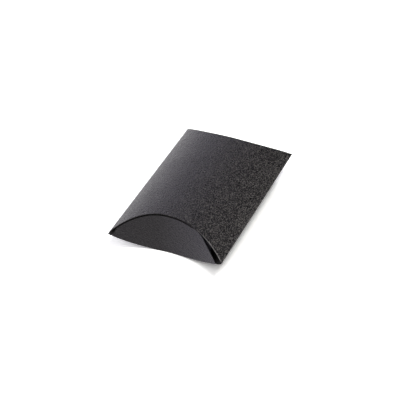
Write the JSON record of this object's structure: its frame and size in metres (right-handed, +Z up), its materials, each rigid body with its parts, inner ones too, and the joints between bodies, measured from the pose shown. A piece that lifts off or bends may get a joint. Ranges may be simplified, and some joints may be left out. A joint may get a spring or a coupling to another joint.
{
  "type": "pillow favor box",
  "caption": "Pillow-shaped favor box of folded black card, with arched panels and hinged flaps tucked in at both ends.",
  "frame": {"origin": "on the resting plane, under the centre of the box", "axes": "+X across the width, +Y along the length away from the pictured end, +Z up"},
  "size_m": [0.08, 0.13, 0.031],
  "materials": {
    "black_card": "fine embossed grain with a satin sheen",
    "folded_card": "embossed card, burnished along the fold",
    "card_back": "matt uncoated back",
    "glue": "dried white glue"
  },
  "bodies": {
    "box": {"top_panel": "black_card", "bottom_panel": "black_card", "left_side_crease": "folded_card", "right_side_crease": "folded_card", "glue_flap": "card_back", "glue_strip": "glue", "front_top_crease": "folded_card", "front_bottom_crease": "folded_card", "back_top_crease": "folded_card", "back_bottom_crease": "folded_card"},
    "front_outer_flap": {"front_outer_flap": "black_card"},
    "front_inner_flap": {"front_inner_flap": "black_card"},
    "back_outer_flap": {"back_outer_flap": "black_card"},
    "back_inner_flap": {"back_inner_flap": "black_card"}
  },
  "joints": [
    {"name": "front_outer_fold", "type": "hinge", "parent": "box", "child": "front_outer_flap", "pos_m": [0, -0.049, 0], "axis": [1, 0, 0], "range_deg": [0, 85]},
    {"name": "front_inner_fold", "type": "hinge", "parent": "box", "child": "front_inner_flap", "pos_m": [0, -0.0478, 0.03025], "axis": [1, 0, 0], "range_deg": [0, 65]},
    {"name": "back_outer_fold", "type": "hinge", "parent": "box", "child": "back_outer_flap", "pos_m": [0, 0.049, 0], "axis": [-1, 0, 0], "range_deg": [0, 85]},
    {"name": "back_inner_fold", "type": "hinge", "parent": "box", "child": "back_inner_flap", "pos_m": [0, 0.0478, 0.03025], "axis": [-1, 0, 0], "range_deg": [0, 65]}
  ]
}
